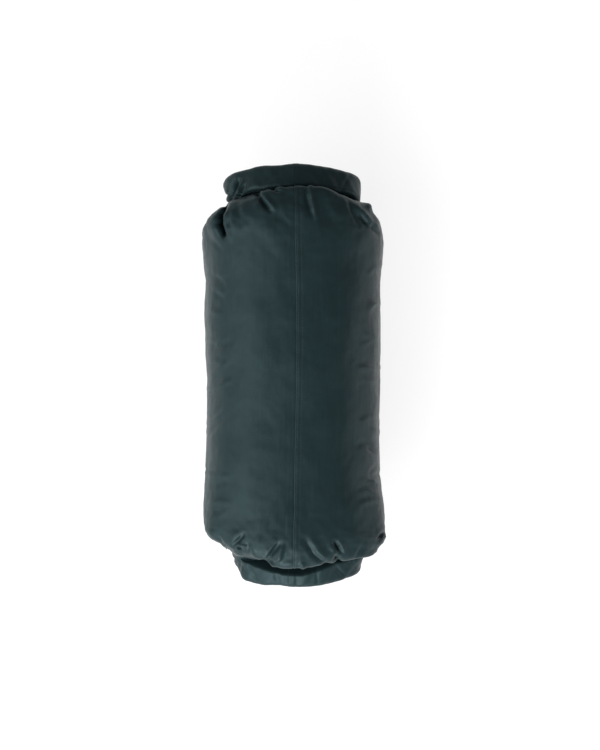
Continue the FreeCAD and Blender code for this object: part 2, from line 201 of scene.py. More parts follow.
def vary_roughness(tree, shader, source, *stops):
    """Roughness by a texture: stops are (place, roughness)."""
    greys = [(place, (value, value, value)) for place, value in stops]
    tree.links.new(ramp(tree, source, *greys), shader.inputs["Roughness"])


def shade(color, factor):
    """The same colour made darker or lighter."""
    return tuple(part * factor for part in color)


def weave_height(tree, coordinates, across, along):
    """Height of a plain weave from 0 to 1: over-and-under threads at so many per unit of the coordinates."""
    split = node(tree, "ShaderNodeSeparateXYZ")
    tree.links.new(coordinates, split.inputs[0])
    waves = []
    for socket, density in zip(split.outputs, (across, along)):
        turns = math_node(tree, "MULTIPLY", socket, density * 2 * math.pi)
        waves.append(math_node(tree, "SINE", turns))
    checks = math_node(tree, "MULTIPLY", *waves)
    return math_node(tree, "MULTIPLY_ADD", checks, 0.5, 0.5)


def bump(tree, shader, height, strength, distance):
    """A bump on a shader from a height socket, stacked on any bump that is already there."""
    made = node(tree, "ShaderNodeBump", Strength=strength, Distance=distance)
    normal = shader.inputs["Normal"]
    if normal.is_linked:
        tree.links.new(normal.links[0].from_socket, made.inputs["Normal"])
    tree.links.new(height, made.inputs["Height"])
    tree.links.new(made.outputs[0], normal)


def nylon(name, color, roughness):
    """Coated nylon: a fine plain weave, soft sheen, slight blotches, rubbed threads and scuffs."""
    material, tree, shader = principled(
        name, color, roughness, IOR=1.25, Specular_IOR_Level=0.6, Specular_Tint=(0.72, 0.97, 1.0, 1),
        Sheen_Weight=0.03, Sheen_Roughness=0.5, Sheen_Tint=(0.75, 0.95, 1.0, 1))
    place, solid = fabric_place(tree), object_place(tree)
    lengthwise = node(tree, "ShaderNodeMapping", Scale=(0.35, 0.02, 1.0))
    tree.links.new(place, lengthwise.inputs["Vector"])
    weave = weave_height(tree, place, 0.55, 0.55)
    blotches = noise_field(tree, solid, 14.0, 4.0, 0.55)
    grain = noise_field(tree, solid, 1500.0)
    streaks = noise_field(tree, lengthwise.outputs[0], 1.0, 3.0)
    tone = weighted(tree, (blotches, 0.55), (weave, 0.22), (grain, 0.18), (streaks, 0.20))
    vary_color(tree, shader, tone, (0.25, shade(color, 0.62)), (0.62, color), (1.0, shade(color, 1.45)))
    vary_roughness(tree, shader, blotches, (0.3, roughness - 0.07), (0.7, roughness + 0.09))
    bump(tree, shader, streaks, 0.25, 0.0006)
    bump(tree, shader, weave, 0.5, 0.00012)
    return material


def thread_material():
    """Twisted polyester thread, close to the fabric's own colour."""
    material, tree, shader = principled("thread", (0.03, 0.048, 0.05), 0.6, Sheen_Weight=0.1)
    twist = noise_field(tree, object_place(tree), 2600.0)
    vary_color(tree, shader, twist, (0.3, (0.008, 0.016, 0.018)), (0.7, (0.021, 0.036, 0.039)))
    bump(tree, shader, twist, 0.5, 0.0001)
    return material


def webbing_material():
    """Black nylon webbing: ribs along, weft across, a soft sheen and a little fuzz."""
    dark, middle, light = (0.010, 0.012, 0.013), (0.024, 0.028, 0.030), (0.06, 0.068, 0.07)
    material, tree, shader = principled("webbing", middle, 0.62, Sheen_Weight=0.35, Sheen_Roughness=0.4)
    weave = weave_height(tree, fabric_place(tree), 0.57, 0.9)
    fuzz = noise_field(tree, object_place(tree), 900.0, 3.0)
    tone = weighted(tree, (weave, 0.6), (fuzz, 0.5))
    vary_color(tree, shader, tone, (0.2, dark), (0.6, middle), (1.0, light))
    vary_roughness(tree, shader, fuzz, (0.3, 0.5), (0.8, 0.75))
    bump(tree, shader, weave, 0.6, 0.00025)
    bump(tree, shader, fuzz, 0.3, 0.0001)
    return material


def plastic(name, color, roughness):
    """Moulded plastic: fine spark-eroded grain, faint flow marks, edges rubbed a little lighter."""
    material, tree, shader = principled(name, color, roughness, Specular_IOR_Level=0.45)
    place = object_place(tree)
    grain, flow = noise_field(tree, place, 1900.0), noise_field(tree, place, 70.0, 3.0)
    worn = node(tree, "ShaderNodeNewGeometry").outputs["Pointiness"]
    mix = node(tree, "ShaderNodeMix", data_type="RGBA")
    tree.links.new(ramp(tree, worn, (0.5, (0, 0, 0)), (0.58, (1, 1, 1))), mix.inputs["Factor"])
    base = ramp(tree, flow, (0.3, shade(color, 0.8)), (0.7, shade(color, 1.3)))
    tree.links.new(base, mix.inputs[MIX_FIRST])
    mix.inputs[MIX_SECOND].default_value = (*(part * 2.4 + 0.01 for part in color), 1)
    tree.links.new(mix.outputs[2], shader.inputs["Base Color"])
    vary_roughness(tree, shader, flow, (0.3, roughness - 0.08), (0.7, roughness + 0.1))
    bump(tree, shader, grain, 0.35, 0.00008)
    return material


FABRIC = nylon("coated_nylon", (0.0096, 0.0208, 0.0236), 0.42)
THREAD = thread_material()
WEBBING = webbing_material()
TAPE = plastic("seam_tape", (0.16, 0.17, 0.17), 0.42)
ACETAL = plastic("buckle_acetal", (0.012, 0.013, 0.014), 0.36)
STRIP = plastic("stiffener_strip", (0.05, 0.055, 0.058), 0.5)


# ---------- mesh helpers


def link(name, mesh, material, smooth=True):
    """An object for a finished mesh, with its material."""
    obj = bpy.data.objects.new(name, mesh)
    SCENE.collection.objects.link(obj)
    mesh.materials.append(material)
    if smooth:
        mesh.polygons.foreach_set("use_smooth", [True] * len(mesh.polygons))
    return obj


def grid_faces(rows, columns, wrap=False):
    """Vertex numbers of the quads of a grid of points, joined round its columns if wrap."""
    index = np.arange(rows * columns).reshape(rows, columns)
    right = np.roll(index, -1, axis=1)
    if not wrap:
        index, right = index[:, :-1], right[:, :-1]
    return np.stack([index[:-1], right[:-1], right[1:], index[1:]], axis=-1).reshape(-1, 4)


def make_mesh(name, points, faces, uv=None):
    """A mesh in metres from points in millimetres, with the fabric's own coordinates as its UVs."""
    mesh = bpy.data.meshes.new(name)
    used, numbers = np.unique(np.asarray(faces), return_inverse=True)
    faces = numbers.reshape(np.shape(faces))
    mesh.from_pydata((np.asarray(points).reshape(-1, 3)[used] * MM).tolist(), [], faces.tolist())
    if uv is not None:
        layer = mesh.uv_layers.new(name="fabric")
        flat = np.asarray(uv).reshape(-1, 2)[used][faces.ravel()]
        layer.data.foreach_set("uv", flat.ravel().astype(np.float32))
    mesh.update()
    return mesh


def outward(mesh):
    """The same closed mesh with all its faces looking out."""
    shape = bmesh.new()
    shape.from_mesh(mesh)
    bmesh.ops.recalc_face_normals(shape, faces=shape.faces)
    shape.to_mesh(mesh)
    shape.free()
    return mesh


def fabric_run(points):
    """Length of fabric along each column of a grid, from its first row."""
    steps = np.linalg.norm(np.diff(points, axis=0), axis=2)
    return np.concatenate([np.zeros((1, points.shape[1])), np.cumsum(steps, axis=0)])


def line_run(line):
    """Length along a line at each of its points."""
    return fabric_run(line[:, None])[:, 0]


def resample(rows, places, wanted):
    """Rows of values that are known at some places, worked out at the wanted places."""
    upper = np.clip(np.searchsorted(places, wanted), 1, len(places) - 1)
    share = (wanted - places[upper - 1]) / (places[upper] - places[upper - 1])
    share = np.reshape(share, np.shape(share) + (1,) * (rows.ndim - 1))
    return rows[upper - 1] * (1 - share) + rows[upper] * share


def sheet_uv(grid):
    """The fabric's own coordinates over a grid, in millimetres."""
    across = fabric_run(grid.transpose(1, 0, 2)).T
    return np.stack([across, fabric_run(grid)], axis=-1).reshape(-1, 2)


def slab(name, top, under):
    """A closed thin sheet between two grids of points."""
    rows, columns = top.shape[:2]
    count = rows * columns
    index = np.arange(count).reshape(rows, columns)
    rim = np.concatenate([index[0, :-1], index[:-1, -1], index[-1, :0:-1], index[:0:-1, 0]])
    after = np.roll(rim, -1)
    sides = np.stack([rim, after, after + count, rim + count], axis=-1)
    quads = grid_faces(rows, columns)
    faces = np.concatenate([quads[:, ::-1], quads + count, sides])
    points = np.concatenate([top.reshape(-1, 3), under.reshape(-1, 3)])
    uv = np.concatenate([sheet_uv(top), sheet_uv(under)])
    return outward(make_mesh(name, points, faces, uv))


def tube(name, points, across, along):
    """A closed tube with a cap at each end, from its rings of points and the fabric's coordinates on them."""
    rows, columns = points.shape[:2]
    near = np.arange(columns // 2 - 1)
    cap = np.stack([near, near + 1, columns - 2 - near, columns - 1 - near], axis=-1)
    faces = np.concatenate([grid_faces(rows, columns, wrap=True), cap, cap + (rows - 1) * columns])
    uv = np.stack(np.broadcast_arrays(across, along), axis=-1)
    return outward(make_mesh(name, points, faces, uv))


def grid_normals(points):
    """Unit normals of a grid of points."""
    along = np.gradient(points, axis=0)
    across = np.gradient(points, axis=1)
    normals = np.cross(across, along)
    return normals / np.maximum(np.linalg.norm(normals, axis=-1, keepdims=True), 1e-9)


def soft_noise(points, scale, seed, octaves=3):
    """Smooth noise at each point, about -1 to 1, features about scale millimetres across."""
    shift = Vector((seed * 7.31, seed * 3.17, seed * 5.93))
    flat = np.asarray(points).reshape(-1, 3) / scale
    values = [noise.fractal(Vector(p) + shift, 0.8, 2.0, octaves) for p in flat]
    return np.array(values).reshape(np.shape(points)[:-1])


def finish_piece(obj, body=None, nodes=()):
    """Body and replaced CAD nodes of a piece."""
    if body:
        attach(obj, body)
    if nodes:
        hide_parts(*nodes)


# ---------- the ring that each rolled bar makes

FRONT_ANGLE = math.asin(FRONT_HALF_CHORD / FRONT_RADIUS)
BEND_X = (FRONT_RADIUS - BEND_RADIUS) * math.sin(FRONT_ANGLE)
BEND_Z = (FRONT_RADIUS - BEND_RADIUS) * math.cos(FRONT_ANGLE) - FRONT_RADIUS
FRONT_LENGTH = FRONT_RADIUS * FRONT_ANGLE
BEND_LENGTH = BEND_RADIUS * (ARM_ANGLE - FRONT_ANGLE)
HALF_LENGTH = FRONT_LENGTH + BEND_LENGTH + ARM_LENGTH
CUT_LENGTH = FRONT_LENGTH + BEND_RADIUS * (CUT_ANGLE - FRONT_ANGLE)
UNDERCUT = 17.0


def on_bend(angle):
    """A point of the right bend's arc, x and z in the closure frame."""
    return np.array([BEND_X + BEND_RADIUS * math.sin(angle), BEND_Z + BEND_RADIUS * math.cos(angle)])


def way_along(angle):
    """The bar's direction at an angle of the right bend, x and z in the closure frame."""
    return np.array([math.cos(angle), -math.sin(angle)])


def bar(length):
    """Middle line of the bar at signed lengths from its middle: x, z and the outward normal's x, z."""
    reach, hand = np.abs(length), np.where(np.asarray(length) < 0, -1.0, 1.0)
    in_front = reach <= FRONT_LENGTH
    past = np.maximum(reach - FRONT_LENGTH - BEND_LENGTH, 0.0)
    bend = FRONT_ANGLE + (np.minimum(reach, FRONT_LENGTH + BEND_LENGTH) - FRONT_LENGTH) / BEND_RADIUS
    turn = np.where(in_front, reach / FRONT_RADIUS, bend)
    x_past_front = BEND_X + BEND_RADIUS * np.sin(turn) + past * np.cos(turn)
    z_past_front = BEND_Z + BEND_RADIUS * np.cos(turn) - past * np.sin(turn)
    x = np.where(in_front, FRONT_RADIUS * np.sin(turn), x_past_front)
    z = np.where(in_front, FRONT_RADIUS * (np.cos(turn) - 1), z_past_front)
    return hand * x, z, hand * np.sin(turn), np.cos(turn)


def row_place(end, x, y, z):
    """Closure coordinates to the row frame, x staying the row's own x."""
    out = y * math.cos(TILT) + z * math.sin(TILT) + RING_Y
    up = z * math.cos(TILT) - y * math.sin(TILT) + RING_Z[end]
    return np.stack(np.broadcast_arrays(x, end * out, up), axis=-1)


def row_direction(end, x, z):
    """A direction in the closure's x, z plane, in the row frame."""
    return row_place(end, x, 0.0, z) - row_place(end, 0.0, 0.0, 0.0)


def metres(end, sign, place, y=0.0):
    """A point of the closure's x, z plane on one side, in metres in the row frame."""
    return tuple(row_place(end, sign * place[0], y, place[1]) * MM)


def undercut(end, length):
    """How far the foot's bar is rolled away under the stuffed end, around its middle."""
    share = rise(np.abs(length), 76, 16)
    return UNDERCUT * share * share * (3 - 2 * share) * (end == FOOT)


def drawn_in(end, length, x):
    """How far in x the foot's bar is drawn over at its left and its right bend."""
    left = (4.5 + 3.5 * rise(np.abs(length), 112, 98)) * rise(x, -54, -66)
    right = 4.0 * rise(x, 52, 66)
    return left * (end == FOOT), right * (end == FOOT)


def beside_bar(end, length, y, lift=0.0):
    """Points on the side of the bar where the sack's fabric comes in, at a depth y and lifted a little."""
    x, z, normal_x, normal_z = bar(length)
    offset = -end * OUTER_RUN + lift - undercut(end, length)
    x = x + sum(drawn_in(end, length, x))
    return row_place(end, x + normal_x * offset, y, z + normal_z * offset)


# ---------- stuffed body

# By share of the way round from the front seam (0) over the side (0.5) to the back seam (1): where the
# straight part ends, and how full the end is (small is blunt, 2 is a straight slope).
FULLNESS_AT = (0.0, 0.2, 0.34, 0.5, 0.66, 0.8, 1.0)
STRAIGHT_TO = {HEAD: (152, 154, 152, 138, 122, 109, 104), FOOT: (164, 162, 156, 140, 122, 109, 104)}
FULLNESS = {HEAD: (0.95, 0.72, 0.55, 0.75, 1.25, 1.6, 1.62), FOOT: (0.62, 0.60, 0.52, 0.72, 1.25, 1.6, 1.62)}

# How far the front's rim reaches past the middle, by x, and up to which share of the way round.
RIM = {
    HEAD: ((-100, 150), (-88, 180), (-74, 186), (-64, 189), (-52, 197.5), (-40, 203), (-22, 210.5), (0, 213),
           (20, 213), (36, 211), (50, 206), (62, 200), (76, 192), (90, 182), (100, 150)),
    FOOT: ((-100, 168), (-90, 177), (-78, 185), (-66, 190), (-58, 195), (-42, 203), (-17, 211), (14, 211.5),
           (48, 206), (72, 203), (88, 196), (100, 180)),
}
FRONT_SHARE = 0.46

# How far the sides stand out past the plain form, by y, left and right: shoulder lobes and slack waist.
SIDE_SWELL = {
    -1: ((-200, 1), (-191, 2.5), (-182, 3.5), (-170, 4.5), (-162, 3.2), (-148, 1.2), (-110, 0.5), (-40, 1.0),
         (0, 1.0), (25, 3.0), (55, 3.4), (80, 2.8), (105, 1.2), (135, 1.8), (152, 3.0), (161, 6.0),
         (172, 5.6), (180, 3.5), (190, 1)),
    1: ((-200, 5), (-190, 6), (-184, 10), (-177, 10.5), (-170, 7.5), (-163, 5.2), (-155, 3.8), (-140, 2.2),
        (-110, 0.6), (-40, 1.2), (0, 1.3), (25, 2.8), (50, 3.2), (80, 1.5), (110, 1.2), (135, 1.8),
        (152, 1.2), (161, 2.4), (172, 3.6), (182, 3.0), (188, 2.0), (196, 0)),
}
# Small local moves of the form: middle x, y, half width, how far in x and y.
NUDGES = ((-74, -196, 7, 2.0, 2.0), (82, 188, 8, 2.5, 4.0), (-92, -178, 9, 0, -2.0))


def unit_section(count=2880):
    """The stuffed section as a fine closed line from the front seam: x as a share, z, length of fabric."""
    turn = np.linspace(0, 2 * math.pi, count + 1)
    c, s = np.cos(turn), np.sin(turn)
    x = np.sign(s) * np.abs(s) ** (2 / SQUARENESS)
    middle, half = (BODY_TOP - FLOOR_CUT) / 2, (BODY_TOP + FLOOR_CUT) / 2
    z = np.maximum(middle + half * np.sign(c) * np.abs(c) ** (2 / SQUARENESS), 0.0)
    return x, z, line_run(np.stack([x * HALF_WIDTH, z], axis=-1))


SECTION_X, SECTION_Z, SECTION_LENGTH = unit_section()
GIRTH = SECTION_LENGTH[-1]


def seam_wander(y):
    """The front seam's sideways drift along the sack."""
    return SEAM_X + 1.3 * np.sin(y / 62.0 + 0.9) - 3.08 * rise(y, -150, -210)


def on_section(around, y):
    """Points of the stuffed section: around in millimetres of fabric from the front seam, y along."""
    x = np.interp(around % GIRTH, SECTION_LENGTH, SECTION_X)
    z = np.interp(around % GIRTH, SECTION_LENGTH, SECTION_Z)
    width = HALF_WIDTH + SHOULDER_SWELL * np.clip(np.abs(y) / SHOULDER_Y, 0, 1.1) ** 2.5
    return x * width + seam_wander(y) * np.clip(1 - x * x, 0, 1), z


def way_round(around):
    """Share of the way from the front seam (0) to the back seam (1), and the place along the bar it meets."""
    share = (around / GIRTH) % 1.0
    hand = np.where(share <= 0.5, 1.0, -1.0)
    fold = np.where(share <= 0.5, share * 2, 2 - share * 2)
    return fold, hand * np.where(fold <= 0.5, fold * 2, 2 - fold * 2) * HALF_LENGTH


def swell(points):
    """The plain form with its sides out by the swell and its corners nudged."""
    x, y, z = points[..., 0], points[..., 1], points[..., 2]
    extra = np.zeros_like(x)
    for hand, table in SIDE_SWELL.items():
        place, out = np.array(table).T
        extra += np.where(x * hand > 0, hand * np.interp(y, place, out), 0)
    moved = points.copy()
    moved[..., 0] += extra * rise(np.abs(x), 0, HALF_WIDTH * 0.92) ** 4 * np.clip(z / 40, 0.25, 1)
    for middle_x, middle_y, half_width, by_x, by_y in NUDGES:
        near = bell(np.hypot(x - middle_x, y - middle_y), half_width)
        moved[..., 0] += by_x * near
        moved[..., 1] += by_y * near
    return moved


def smooth_columns(values, width=9):
    """A running mean along the columns, wrapping round."""
    padded = np.concatenate([values[-width:], values, values[:width]])
    return np.convolve(padded, np.ones(width) / width, "same")[width:-width]


def end_cap(end, around):
    """Points of one stuffed end, from the straight part to the throat."""
    fold, length = way_round(around)
    straight = np.interp(fold, FULLNESS_AT, STRAIGHT_TO[end])
    start_x, start_z = on_section(around, end * straight)
    stop = beside_bar(end, length, -ROLL_RUN - THROAT)
    power = np.interp(fold, FULLNESS_AT, FULLNESS[end])
    reach = np.interp(start_x, *np.array(RIM[end]).T)
    stop_reach = np.abs(stop[:, 1])
    over = np.clip((reach - stop_reach) / (stop_reach - straight), 0, 0.8)
    over = smooth_columns(over * rise(fold, FRONT_SHARE, FRONT_SHARE - 0.1))
    turn = np.linspace(0, math.pi / 2, CAP_STEPS + 1)[:, None]
    inward = 1 - np.cos(turn).clip(0, 1) ** power
    outward_share = np.sin(turn) ** power + 1.35 * over * np.sin(2 * turn).clip(0, 1) ** 2
    x = start_x + (stop[:, 0] - start_x) * inward
    y = end * straight + (stop[:, 1] - end * straight) * outward_share
    z = start_z + (stop[:, 2] - start_z) * inward
    return np.stack([x, y, z], axis=-1)


def body_grid(around):
    """Points of the skin: rows from the foot's throat to the head's, columns at the given fabric lengths."""
    fold, _ = way_round(around)
    foot_y, head_y = (end * np.interp(fold, FULLNESS_AT, STRAIGHT_TO[end]) for end in (FOOT, HEAD))
    steps = np.linspace(0, 1, MIDDLE_STEPS + 1)[1:-1, None]
    y = foot_y + (head_y - foot_y) * steps
    x, z = on_section(np.broadcast_to(around, y.shape), y)
    foot, head = (end_cap(end, around) for end in (FOOT, HEAD))
    return swell(np.concatenate([foot[::-1], np.stack([x, y, z], axis=-1), head]))


def half_columns():
    """Fabric lengths round one half of the sack from seam to seam, closer together beside both seams."""
    half, side = GIRTH / 2, SEAM_STEPS[-1]
    between = np.linspace(side, half - side, int((half - 2 * side) / COLUMN_STEP))
    return np.concatenate([SEAM_STEPS[:-1], between, (half - SEAM_STEPS[:-1])[::-1]])


# The skin's steps over each end and the middle, and from column to column.
CAP_STEPS, MIDDLE_STEPS, COLUMN_STEP = 76, 120, 1.9
SEAM_STEPS = np.array([0.0, 0.25, 0.7, 1.2, 1.7, 2.2, 2.9, 4.0, 5.4, 6.4, 6.9, 7.4, 8.2, 9.4, 11.0])
RIGHT_COLUMNS = half_columns()
HALF_COUNT = len(RIGHT_COLUMNS)
ALL_COLUMNS = np.concatenate([RIGHT_COLUMNS, GIRTH - RIGHT_COLUMNS[-2:0:-1]])

# ---------- folds, creases and puckers

# (line of x, y points seen from above), half width, height (below zero is a crease).
HEAD_FOLDS = (
    (((-74, 186), (-80, 176), (-80.6, 165.6), (-76.3, 153)), 2.3, -7.0),
    (((-86, 178), (-88, 166), (-83, 150)), 4.5, 2.0),
    (((-70, 182), (-74.5, 172), (-74.5, 160)), 2.2, 1.8),
    (((-67, 180), (-66.5, 171), (-65, 158)), 2.2, 1.8),
    (((-71.5, 162), (-71, 156), (-68, 148)), 2.0, 1.8),
    (((-61, 186), (-58, 172), (-57, 160)), 3.2, -1.5),
    (((-41, 202), (-34.4, 190), (-25, 179)), 1.9, -4.8),
    (((-36, 203), (-28, 191), (-19, 181)), 2.8, 2.4),
    (((-26, 206), (-15, 200.5)), 1.8, -3.2),
    (((-20, 209), (-10, 203)), 2.2, 1.2),
    (((18.9, 207), (20.9, 192), (26.4, 168)), 2.3, 2.6),
    (((14, 208), (15.5, 192), (20.5, 174)), 2.4, -2.4),
    (((49, 208), (52, 201)), 2.0, -5.0),
    (((38, 204), (42, 186), (50, 172)), 4.5, 1.4),
    (((68, 186), (79, 173), (92, 161)), 3.6, 3.0),
    (((72, 177), (81, 164.5)), 2.2, -4.0),
    (((60, 192), (66, 176), (72, 164)), 2.6, -2.0),
    (((85, 165), (93, 155)), 2.2, -3.4),
    (((80, 187), (86, 183)), 3.0, 3.0),
)
FOOT_FOLDS = (
    (((-65, -186), (-54, -173)), 2.0, -4.6),
    (((-70, -183), (-60, -170)), 3.2, 1.3),
    (((-60, -186), (-57.5, -191.5)), 2.2, -3.0),
    (((-64, -187), (-58, -184.5), (-52, -187)), 2.1, 1.8),
    (((-46, -184), (-41, -196), (-45, -201)), 3.7, 1.1),
    (((-49, -182), (-47, -194)), 2.4, -1.8),
    (((-15, -183), (-27.5, -200)), 1.9, -5.0),
    (((-35, -202), (-18, -203)), 2.4, -4.0),
    (((-11, -186), (-15, -199), (-22, -207.5)), 2.5, 2.5),
    (((-40, -205), (-24, -209)), 2.5, 1.4),
    (((9, -203), (12, -210)), 2.5, 1.8),
    (((14, -178), (22, -194), (37, -206)), 2.8, -2.6),
    (((20, -178), (30, -195), (43, -204)), 3.6, 1.2),
    (((46, -181), (52.4, -193)), 1.9, -5.0),
    (((46, -197), (51, -205)), 2.4, -4.0),
    (((41, -184), (46, -192), (41, -200)), 2.5, 1.8),
    (((52, -182), (58, -194)), 2.5, 1.5),
    (((100, -172), (94, -180)), 2.4, -3.0),
    (((76, -186), (70, -200)), 3.4, -2.2),
    (((-84, -176), (-78, -186)), 2.6, -3.0),
    (((-90, -170), (-84, -178)), 3.0, 1.4),
)
# Deep slits, pressed straight down where one lobe of fabric laps over the next.
SLITS = (
    (((-72, 188), (-78, 177), (-79, 166), (-75, 154)), 1.9, -25.0),
    (((-40, 202), (-34, 191), (-28, 183)), 1.6, -3.0),
    (((-35, -203), (-19, -204)), 2.0, -4.0),
    (((-60, -187), (-57.5, -191)), 1.8, -3.5),
    (((46, -196), (51, -205)), 2.0, -4.0),
    (((49, 208), (52, 202)), 1.8, -4.0),
    (((100, -173), (96, -179)), 2.0, -6.0),
)
# Where the open head arm brings a prong close to the fabric: how deep and how wide it dents in.
PRONG_ROOM, PRONG_DENT, PRONG_REACH = (-77, 175, 70), 6.0, 16.0
# How many seeded folds run in from the sides, and the broad swells of the stuffing.
EDGE_FOLD_COUNT = 46
SOFT_FOLDS = (
    (((-60, 120), (-40, 60), (-46, 0)), 16.0, 1.0),
    (((40, 130), (52, 70), (44, 10)), 18.0, 0.9),
    (((-70, -20), (-52, -80), (-58, -140)), 15.0, 1.0),
    (((35, -40), (50, -100), (40, -150)), 17.0, 1.1),
    (((-25, 90), (-14, 20), (-26, -60)), 12.0, -0.8),
    (((66, 40), (74, -30), (66, -90)), 12.0, -0.9),
)


def edge_folds():
    """Small seeded folds that run in from both sides, where the stuffed fabric slackens over the curve."""
    random = np.random.default_rng(257)
    folds = []
    for number in range(EDGE_FOLD_COUNT):
        hand = -1 if number % 2 else 1
        y = random.uniform(-165, 150)
        inner = hand * random.uniform(68, 84)
        outer = hand * random.uniform(90, 97)
        slope = random.uniform(-14, 14)
        height = random.uniform(0.7, 1.7) * (1 if random.random() < 0.45 else -1)
        line = ((inner, y), ((inner + outer) / 2, y + slope * 0.6), (outer, y + slope))
        folds.append((line, random.uniform(1.8, 3.2), height))
    return tuple(folds)


def fold_height(x, y, folds):
    """Height of a set of folds at points seen from above."""
    height = np.zeros_like(x)
    for line, half_width, rise_by in folds:
        line = np.array(line, float)
        steps = np.diff(line, axis=0)
        lengths = np.hypot(*steps.T)
        starts = np.concatenate([[0], np.cumsum(lengths)])
        near = np.full(x.shape, 1e9)
        place = np.zeros_like(x)
        for start, step, length, before in zip(line, steps, lengths, starts):
            share = np.clip(((x - start[0]) * step[0] + (y - start[1]) * step[1]) / length ** 2, 0, 1)
            away = np.hypot(x - start[0] - share * step[0], y - start[1] - share * step[1])
            closer = away < near
            near = np.where(closer, away, near)
            place = np.where(closer, (before + share * length) / starts[-1], place)
        taper = 0.35 + 0.65 * np.sin(np.pi * place) ** 0.7
        height += rise_by * taper * bell(near, half_width)
    return height


def gathers(points, around):
    """Small pleats that run out from both throats on the sides and the back, where the fabric is taken in."""
    near_end = rise(np.abs(points[..., 1]), 138, 193)
    behind = rise(points[..., 2], 105, 55)
    wave = np.sin(around * 2 * math.pi / 17.0 + 2.2 * soft_noise(points, 45, 3, 2))
    return 1.5 * near_end * behind * wave


def sculpt(points, around):
    """The skin with its folds, out along its own normals, and those normals."""
    normals = grid_normals(points)
    towards = np.sign(np.sum(normals * (points - np.array([0, 0, 80.0])), axis=-1, keepdims=True))
    normals = normals * np.where(towards == 0, 1, towards)
    x, y, z = points[..., 0], points[..., 1], points[..., 2]
    top = rise(z, 62, 92)
    move = top * (fold_height(x, y, HEAD_FOLDS) * (y > 100) + fold_height(x, y, FOOT_FOLDS) * (y < -100))
    move += top * fold_height(x, y, SOFT_FOLDS)
    move += rise(z, 30, 50) * fold_height(x, y, edge_folds()) * (np.abs(x) > 40)
    move += gathers(points, around)
    move += 1.5 * soft_noise(points, 70, 1, 2)
    move += (0.45 + 0.9 * rise(np.abs(y), 120, 190)) * soft_noise(points, 24, 2, 3)
    move += 0.14 * soft_noise(points, 7, 5, 2)
    row = np.arange(len(points))
    held = rise(np.minimum(row, row[::-1]), 3, 12)[:, None]
    folded = points + normals * (move * held * rise(z, 0, 10))[..., None]
    folded[..., 2] += top * held * fold_height(x, y, SLITS)
    from_prong = np.linalg.norm(points - np.array(PRONG_ROOM), axis=-1)
    folded -= normals * (PRONG_DENT * bell(from_prong, PRONG_REACH))[..., None]
    return folded, normals


# The lapped edge's height by distance from the seam, and the two stitch rows along it.
LAP_AT, LAP_HEIGHT = (0, 0.25, 4.0, 9.4, 11), (0, 0.45, 0.16, 0.03, 0)
STITCH_ROWS, STITCH_RADII = (1.4, 5.8), (0.24, 0.15)
GROOVE_DEPTHS, GROOVE_WIDTH = (0.25, 0.1), 0.55
STITCH_LENGTH, STITCH_GAP = 2.5, 0.9


def dress_seam(points, normals, around):
    """The right panel lifted over the left along both seams, with a needle groove under each stitch row."""
    on_right = around < GIRTH / 2 + 1e-6
    lift = np.zeros_like(around)
    for distance in (np.minimum(around, GIRTH - around), np.abs(around - GIRTH / 2)):
        lapped = np.interp(distance, LAP_AT, LAP_HEIGHT)
        for row, depth in zip(STITCH_ROWS, GROOVE_DEPTHS):
            lapped = lapped - depth * bell(distance - row, GROOVE_WIDTH)
        hollow = -0.05 * bell(distance - 8.8, 1.3) - 0.25 * bell(distance, 1.2)
        lift = lift + np.where(on_right, np.where(distance < LAP_AT[-1], lapped, 0), hollow)
    return points + normals * lift[None, :, None]


def skin_points():
    """The finished skin and its normals: stuffed shape, folds and seams."""
    points, normals = sculpt(body_grid(ALL_COLUMNS), ALL_COLUMNS)
    points = dress_seam(points, normals, ALL_COLUMNS)
    points[..., 2] = np.maximum(points[..., 2], 0.0)
    return points, normals


def lip(points):
    """The skin's two end rows carried on under the rolls, front and back layers a little apart."""
    fold, length = way_round(ALL_COLUMNS)
    layer = np.where(fold < 0.5, 0.35, -0.35)
    foot, head = (beside_bar(end, length, -ROLL_RUN + 3.0, layer)[None] for end in (FOOT, HEAD))
    return np.concatenate([foot, points, head])


# ---------- skin, ribbons and stitches

END_ROWS = 8
RIBBON_THICKNESS = 0.35
RIBBONS = (("allowance", 1.5, FABRIC, "coated_nylon"), ("tape", 2.4, TAPE, "seam_tape"))


def make_skin():
    """Both halves of the stuffed skin, the ribbons inside its seams and the stitches on them."""
    points, normals = skin_points()
    full = lip(points)
    run = fabric_run(full)
    columns = {
        "right": np.arange(HALF_COUNT),
        "left": np.append(np.arange(HALF_COUNT - 1, len(ALL_COLUMNS)), 0),
    }
    for hand, chosen in columns.items():
        around = np.where(chosen == 0, GIRTH if hand == "left" else 0, ALL_COLUMNS[chosen])
        uv = np.stack(np.broadcast_arrays(around, run[:, chosen]), axis=-1)
        mesh = make_mesh(f"{hand}_skin", full[:, chosen], grid_faces(len(full), len(chosen)), uv)
        skin = link(mesh.name, mesh, FABRIC)
        finish_piece(skin, "sack", [f"{hand}_panel"])
    for seam, base, direction in (("front", 0, 1), ("back", HALF_COUNT - 1, -1)):
        steps = direction * np.arange(len(SEAM_STEPS))
        right, left = (base + steps) % len(ALL_COLUMNS), (base - steps) % len(ALL_COLUMNS)
        make_ribbons(seam, np.concatenate([left[:0:-1], right]), points, normals)
        make_stitches(seam, right, points, normals)


def make_ribbons(seam, columns, points, normals):
    """The allowance and the tape inside one seam, under the given columns of the skin."""
    top, out = (grid[END_ROWS:-END_ROWS][:, columns] for grid in (points, normals))
    for kind, depth, material, slot in RIBBONS:
        upper = top - out * depth
        mesh = slab(f"{seam}_{kind}_ribbon", upper, upper - out * RIBBON_THICKNESS)
        finish_piece(link(mesh.name, mesh, material), "sack", [f"{seam}_seam_{kind}"])


